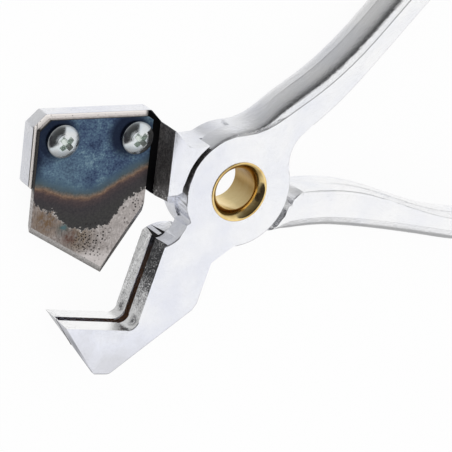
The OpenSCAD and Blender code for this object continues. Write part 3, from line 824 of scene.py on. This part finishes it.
anvil_shape = joined_copy("anvil_half")
print("toe corners rounded", round_corners(anvil_shape, (-60, -60), (-20, -45), 0.9 * MM))
print("wide bevels", round_edges(anvil_shape, WIDE_ROUND, 3),
      "and narrow ones", round_edges(anvil_shape, NARROW_ROUND, 1))
print("seam corners", raise_seam(anvil_shape, SEAM, 24 * MM, 116 * MM))
for face in anvil_shape.faces:
    face.material_index = anvil_finish(face)
anvil_half = make_piece("anvil_casting", anvil_shape, "anvil", ["anvil_half"],
                        [marked_plating, cradle_grain_and_shade, slot_shade_and_rust, wall_shade_and_grain])
soften(anvil_half)

# %% Blade half
STEP_X = -22.1 * MM
POCKET_FLOOR = -1.35 * MM
WEDGE_END = -18.1 * MM
SHOULDER_R = 17.5 * MM


def holder_finish(face):
    """Which finish a face of the blade half has: plating, a dark wall painted as shade, or the rim.
    """
    middle, way = face.calc_center_median(), face.normal
    # Painted shade: the step wall, the lap face in the wedge and the shoulder facing the hub get
    # the dark wall finish.
    if way.x < -0.6 and abs(middle.x - STEP_X) < 0.5 * MM and middle.z > POCKET_FLOOR:
        return 1
    if way.z > 0.6 and abs(middle.z - POCKET_FLOOR) < 0.3 * MM and middle.x < STEP_X + 5 * MM:
        return 2
    if on_lap(face) and middle.x < WEDGE_END:
        return 1
    on_shoulder = on_round(face, SHOULDER_R) and way.xy.dot(middle.xy) < 0
    return int(on_shoulder and middle.x < 0 < middle.z)


holder_shape = joined_copy("blade_half")
lap_faces = [face for face in holder_shape.faces if on_lap(face)]
bmesh.ops.bisect_plane(holder_shape, geom=with_borders(lap_faces), dist=1e-7,
                       plane_co=(WEDGE_END, 0, 0), plane_no=(1, 0, 0))
print("wide bevels", round_edges(holder_shape, WIDE_ROUND, 3),
      "and narrow ones", round_edges(holder_shape, NARROW_ROUND, 1))
print("seam corners", raise_seam(holder_shape, SEAM, 30 * MM, 116 * MM))
for face in holder_shape.faces:
    face.material_index = holder_finish(face)
blade_half = make_piece("blade_casting", holder_shape, "blade", ["blade_half"],
                        [plating, wall_shade_and_grain, rim_grain_and_shade])
soften(blade_half)

# %% [markdown]
# ## The blade
#
# The blade's outline and ground edges are in the model. A hair of rounding on its corners
# catches the light. The ground faces and the sheared sides get their own finishes.

# %% Cutting blade
UPRIGHT, FLAT = 0.15, 0.97
GROUND_BELOW = -5 * MM

blade_shape = joined_copy("cutting_blade")
for face in blade_shape.faces:
    if UPRIGHT < abs(face.normal.z) < FLAT and face.calc_center_median().y < GROUND_BELOW:
        face.material_index = 1
    elif abs(face.normal.z) < UPRIGHT:
        face.material_index = 2
round_edges(blade_shape, NARROW_ROUND, 2)
blade = make_piece("blued_blade", blade_shape, "blade", ["cutting_blade"],
                   [heat_blue, ground_edge, cut_side])
soften(blade)

# %% [markdown]
# ## The screws
#
# A pan-head screw is turned round its axis, so its profile is spun. The cross recess is pressed
# in: two wedge-shaped wings that get narrower as they go down. A boolean cuts them out.

# %% Spin a profile
def spun(profile, steps=72):
    """A closed shape from a profile of (radius, height) points in millimetres."""
    shape = bmesh.new()
    corners = [shape.verts.new((radius * MM, 0, height * MM)) for radius, height in profile]
    edges = [shape.edges.new((corners[i], corners[(i + 1) % len(corners)]))
             for i in range(len(corners)) if profile[i][0] + profile[(i + 1) % len(corners)][0] > 0]
    bmesh.ops.spin(shape, geom=corners + edges, axis=(0, 0, 1), cent=(0, 0, 0),
                   angle=math.tau, steps=steps, use_merge=True)
    bmesh.ops.remove_doubles(shape, verts=shape.verts, dist=0.001 * MM)
    bmesh.ops.recalc_face_normals(shape, faces=shape.faces)
    return shape


# %% Screw and cross
HEAD_R, HEAD_H, RIM_H, SHANK_R, SHANK_END = 4.6, 2.9, 0.9, 2.4, -6.45
HEAD_TOP = BLADE_FRONT + HEAD_H
DOME_H = HEAD_H - RIM_H
DOME_R = (HEAD_R ** 2 + DOME_H ** 2) / (2 * DOME_H)
WING_TOP, WING_LOW, WING_DEPTH = (5.5, 1.7), (1.8, 0.9), 1.75


def screw_profile():
    """The profile of a screw, from the middle of its dome to the end of its shank."""
    lean_end = math.asin(HEAD_R / DOME_R)
    arc = [(DOME_R * math.sin(lean_end * i / 10), HEAD_TOP - DOME_R
            + DOME_R * math.cos(lean_end * i / 10)) for i in range(10)]
    rim = BLADE_FRONT + RIM_H
    edge = [(HEAD_R - 0.16, rim + 0.12), (HEAD_R, rim - 0.12), (HEAD_R, BLADE_FRONT + 0.2),
            (HEAD_R - 0.15, BLADE_FRONT)]
    shank = [(SHANK_R, BLADE_FRONT), (SHANK_R, SHANK_END + 0.25), (SHANK_R - 0.3, SHANK_END)]
    return arc + edge + shank + [(0, SHANK_END)]


def in_recess(face):
    """One for a face of the cross recess, which lies below the dome's surface."""
    middle = face.calc_center_median()
    dome_middle = Vector((0, 0, HEAD_TOP - DOME_R)) * MM
    sunk = (middle - dome_middle).length < (DOME_R - 0.06) * MM
    return int(sunk and middle.z > 1.2 * MM and middle.xy.length < 2.9 * MM)


def cross_punch(top):
    """Two crossed wedges, as wide as the recess at the top of the head."""
    shape = bmesh.new()
    for turn_by in (45, 135):
        wing = bmesh.ops.create_cube(shape, size=1)["verts"]
        for corner in wing:
            low = corner.co.z < 0
            length, width = WING_LOW if low else WING_TOP
            corner.co = (corner.co.x * length * MM, corner.co.y * width * MM,
                         (top - WING_DEPTH if low else top + 0.3) * MM)
        bmesh.ops.rotate(shape, verts=wing, cent=(0, 0, 0),
                         matrix=Matrix.Rotation(math.radians(turn_by), 3, "Z"))
    bmesh.ops.recalc_face_normals(shape, faces=shape.faces)
    return shape


def cut_out(shape, punch):
    """The first shape without the second, through the boolean modifier."""
    objects = []
    for name, form in (("cut_body", shape), ("cut_punch", punch)):
        mesh = bpy.data.meshes.new(name)
        form.to_mesh(mesh)
        form.free()
        objects.append(bpy.data.objects.new(name, mesh))
        bpy.context.scene.collection.objects.link(objects[-1])
    body, tool = objects
    cut = body.modifiers.new("cut", "BOOLEAN")
    cut.operation, cut.object, cut.solver, cut.use_self = "DIFFERENCE", tool, "EXACT", True
    result = bmesh.new()
    result.from_mesh(body.evaluated_get(bpy.context.evaluated_depsgraph_get()).to_mesh())
    for spent in objects:
        bpy.data.objects.remove(spent)
    return result


# %% Two screws
for node, (x, y) in SCREW_PLACES.items():
    screw = cut_out(spun(screw_profile()), cross_punch(HEAD_TOP))
    for face in screw.faces:
        face.material_index = in_recess(face)
    lip = [edge for edge in screw.edges if len(edge.link_faces) == 2
           and edge.calc_face_angle(0) > math.radians(30) and edge.verts[0].co.z > 1.5 * MM]
    bmesh.ops.bevel(screw, geom=lip, offset=0.1 * MM, segments=2, profile=0.5, affect="EDGES",
                    clamp_overlap=True, material=-1)
    bmesh.ops.translate(screw, verts=screw.verts, vec=(x * MM, y * MM, 0))
    piece = make_piece(node + "_turned", screw, "blade", [node], [zinc, recess_zinc])
    soften(piece, 60)

# %% [markdown]
# ## The rivet
#
# The rivet is a brass tube whose ends were rolled over in a press. Its front mouth is a trumpet,
# not a cone: the wall bends away slowly, and turns over in a rounded lip that stands on the
# casting. At the back the bore runs straight to a flat flange, as what shows through it tells.

# %% Brass tube rivet
BORE_R, TUBE_R, LIP_R, LIP_TOP = 6.0, 7.0, 8.5, 7.05

front_mouth = [(BORE_R, 4.2), (6.12, 4.55), (6.5, 5.3), (7.05, 6.1), (7.62, 6.72), (7.92, 6.95)]
front_lip = [(8.12, 7.03), (8.28, LIP_TOP), (8.42, 7.0), (LIP_R, 6.88), (LIP_R, 6.77),
             (8.3, 6.75)]
back_side = [(TUBE_R, 4.35), (TUBE_R, -4.35), (8.16, -6.55), (8.22, -6.66), (8.14, -6.75)]
back_mouth = [(6.6, -6.75), (6.35, -6.72), (6.15, -6.6), (6.04, -6.42), (BORE_R, -6.2)]
rivet_shape = spun(front_mouth + front_lip + back_side + back_mouth, 96)
rivet = make_piece("brass_rivet", rivet_shape, "anvil", ["pivot_rivet"], [brass])
soften(rivet, 35)

# %% [markdown]
# ## The opening spring
#
# The spring opens the jaws. It hides in a round room between the two hub discs. A circle swept
# round the axis while it rises makes the coil, which is what the spin operator does when it also
# gets a step along the axis. Two short legs go out into the castings.

# %% Torsion spring
WIRE_R, COIL_R, LEG_R, TURNS = 0.8, 10.0, 13.9, 2.25
TURN_GAP = 0.45
COIL_HALF = TURNS * (2 * WIRE_R + TURN_GAP) / 2
COIL_STEPS, WIRE_SIDES = 108, 14
TOP_ANGLE = 200

coil = bmesh.new()
ring = bmesh.ops.create_circle(coil, cap_ends=True, segments=WIRE_SIDES,
                               radius=WIRE_R * MM)["verts"]
bmesh.ops.rotate(coil, verts=ring, cent=(0, 0, 0), matrix=Matrix.Rotation(math.pi / 2, 3, "X"))
bmesh.ops.translate(coil, verts=ring, vec=(COIL_R * MM, 0, -COIL_HALF * MM))
low_angle = math.radians(TOP_ANGLE - 360 * TURNS)
bmesh.ops.rotate(coil, verts=coil.verts, cent=(0, 0, 0), matrix=Matrix.Rotation(low_angle, 3, "Z"))
bmesh.ops.spin(coil, geom=coil.faces[:] + coil.edges[:] + coil.verts[:], axis=(0, 0, 1),
               cent=(0, 0, 0), dvec=(0, 0, 2 * COIL_HALF * MM / COIL_STEPS),
               angle=math.tau * TURNS, steps=COIL_STEPS, use_merge=False)
for angle, level in ((low_angle, -COIL_HALF), (math.radians(TOP_ANGLE), COIL_HALF)):
    leg = bmesh.ops.create_cone(coil, cap_ends=True, segments=WIRE_SIDES,
                                radius1=WIRE_R * 0.98 * MM, radius2=WIRE_R * 0.98 * MM,
                                depth=(LEG_R - COIL_R) * MM)["verts"]
    bmesh.ops.rotate(coil, verts=leg, cent=(0, 0, 0), matrix=Matrix.Rotation(math.pi / 2, 3, "Y"))
    bmesh.ops.translate(coil, verts=leg, vec=((LEG_R + COIL_R) / 2 * MM, 0, level * MM))
    bmesh.ops.rotate(coil, verts=leg, cent=(0, 0, 0), matrix=Matrix.Rotation(angle, 3, "Z"))
bmesh.ops.recalc_face_normals(coil, faces=coil.faces)
spring = make_piece("torsion_spring", coil, "anvil", ["opening_spring"],
                    [spring_steel])
soften(spring, 45)

# %% [markdown]
# ## The latch bail
#
# The bail is one bent wire, and the model already has its bends. A copy with its triangles
# joined is enough, because a wire needs only smooth shading.

# %% Latch bail
bail_shape = joined_copy("latch_bail")
bail = make_piece("wire_bail", bail_shape, "latch", ["latch_bail"], [bail_steel])
soften(bail, 40)

# %% [markdown]
# ## Light and floor
#
# Bright metal shows the room more than itself. The room here is a white tent round a pale table.
# Its light is even, and one weak soft lamp gives the tool its shadow. What the metal mirrors is
# drawn by direction in the world: white above, greys below, a dark cloth on one side, at an
# azimuth of 145 degrees, and three small dark places. So curved sides show a dark band that
# fades, and edges get thin dark lines. The world stands still while the view goes round, as a
# real room does.

# %% Table
TABLE_WHITE, TABLE_HALF = 0.95, 4.0
BELOW_TOOL = 0.05 * MM


def make_table_cloth():
    """A pale diffuse cloth that rays from the camera and mirror rays see nearly white."""
    material = bpy.data.materials.new("table_cloth")
    material.use_nodes = True
    tree = material.node_tree
    tree.nodes.remove(tree.nodes["Principled BSDF"])
    matt = add(tree, "BsdfDiffuse", {"Color": (0.8, 0.8, 0.8, 1)})
    path = add(tree, "LightPath")
    seen_white = maths(tree, "MAXIMUM", path.outputs["Is Camera Ray"],
                       maths(tree, "MAXIMUM", path.outputs["Is Glossy Ray"],
                             path.outputs["Is Transmission Ray"]))
    glow = add(tree, "Emission", {"Color": (1, 1, 1, 1), "Strength": 1.0})
    both = add(tree, "MixShader", {0: maths(tree, "MULTIPLY", seen_white, TABLE_WHITE),
                                   1: matt.outputs[0], 2: glow.outputs[0]})
    tree.links.new(both.outputs[0], tree.nodes["Material Output"].inputs["Surface"])
    return material


def stage_mesh(name, shape, material):
    """A staged object, which is no part of the tool."""
    mesh = bpy.data.meshes.new(name)
    shape.to_mesh(mesh)
    shape.free()
    mesh.materials.append(material)
    staged = bpy.data.objects.new(name, mesh)
    bpy.context.scene.collection.objects.link(staged)
    return staged


table_shape = bmesh.new()
bmesh.ops.create_grid(table_shape, x_segments=1, y_segments=1, size=TABLE_HALF)
bmesh.ops.translate(table_shape, verts=table_shape.verts,
                    vec=(0, 0, cad_box[0][2] - BELOW_TOOL))
table = stage_mesh("table", table_shape, make_table_cloth())
table.visible_glossy = False

# %% Lamp
LAMP_WAY, LAMP_AWAY = heading(105, 66), 0.6
LAMP_SIZE, LAMP_WATTS = 0.3, 0.3

lamp = bpy.data.objects.new("soft_lamp", bpy.data.lights.new("soft_lamp", "AREA"))
lamp.data.shape = "DISK"
lamp.data.size = LAMP_SIZE
lamp.data.energy = LAMP_WATTS
lamp.visible_glossy = False
lamp.matrix_world = (Matrix.Translation(LAMP_WAY * LAMP_AWAY)
                     @ LAMP_WAY.to_track_quat("Z", "Y").to_matrix().to_4x4())
bpy.context.scene.collection.objects.link(lamp)

# %% Shades of the room by direction
OPEN_SIDE = [(-90, 0.86), (-60, 0.95), (-45, 1.0), (-34, 0.9), (-25, 0.45), (2, 0.45), (10, 0.85),
             (25, 0.92), (42, 0.93), (50, 0.98), (58, 1.0)]
RIGHT_SIDE = [(-90, 0.86), (-53, 0.62), (-25, 0.38), (8, 0.38), (20, 0.48), (30, 0.6), (38, 0.72),
              (44, 0.88), (50, 0.95), (60, 1.0)]
CLOTH_SIDE = [(-90, 0.82), (-74, 0.68), (-60, 0.62), (-53, 0.57), (-46, 0.40), (-37, 0.43),
              (-27, 0.46), (-19, 0.43), (-9, 0.36), (0, 0.28), (13, 0.18), (27, 0.11), (42, 0.06),
              (59, 0.04), (66, 0.06), (75, 0.96), (90, 0.98)]
CLOTH_WAY, RIGHT_WAY = 145, 280
DARK_PLACES = [(172, 22, 18), (203, 34, 22), (352, 68, 7)]
PLACE_SHADE, ROOM_WHITE = (0.035, 0.033, 0.036, 1), (0.95, 0.95, 0.95, 1)

world = bpy.data.worlds.new("white_room")
world.use_nodes = True
room = world.node_tree
way = add(room, "TexCoord").outputs["Generated"]
height_share = between(room, add(room, "SeparateXYZ", {"Vector": way}).outputs["Z"], -1, 1)
level_way = add(room, "VectorMath", {0: way, 1: (1, 1, 0)}, operation="MULTIPLY").outputs[0]
flat_way = add(room, "VectorMath", {0: level_way}, operation="NORMALIZE").outputs["Vector"]


def up_the_wall(levels):
    """Shades by height, from (elevation in degrees, shade) pairs."""
    return ramp(room, height_share,
                [((math.sin(math.radians(angle)) + 1) / 2, (shade, shade, shade, 1))
                 for angle, shade in levels])


def chord(degrees):
    """The straight distance between two directions that are an angle apart."""
    return 2 * math.sin(math.radians(degrees) / 2)


def round_about(azimuth, inner, outer):
    """One near an azimuth, fading to nothing between two distances from it in degrees."""
    return spot(room, flat_way, heading(azimuth), chord(inner), chord(outer))


# %% The white room, and what bright metal sees of it
on_right = round_about(RIGHT_WAY, 25, 50)
on_cloth = mixed(room, between(room, height_share, 0.54, 0.7), round_about(CLOTH_WAY, 55, 110),
                 round_about(CLOTH_WAY, 78, 84))
mirrored = mixed(room, on_right, up_the_wall(OPEN_SIDE), up_the_wall(RIGHT_SIDE))
mirrored = mixed(room, on_cloth, mirrored, up_the_wall(CLOTH_SIDE))
dark = 0.0
for azimuth, elevation, size in DARK_PLACES:
    dark = maths(room, "MAXIMUM", dark, spot(room, way, heading(azimuth, elevation),
                                             chord(size * 0.75), chord(size)))
mirrored = mixed(room, dark, mirrored, PLACE_SHADE)
path = add(room, "LightPath")
by_mirror = maths(room, "MAXIMUM", path.outputs["Is Glossy Ray"],
                  path.outputs["Is Transmission Ray"])
plain = mixed(room, path.outputs["Is Camera Ray"], ROOM_WHITE, (1, 1, 1, 1))
room.links.new(mixed(room, by_mirror, plain, mirrored), room.nodes["Background"].inputs["Color"])
bpy.context.scene.world = world
bpy.context.scene.view_settings.view_transform = "Standard"
print("light and table made")
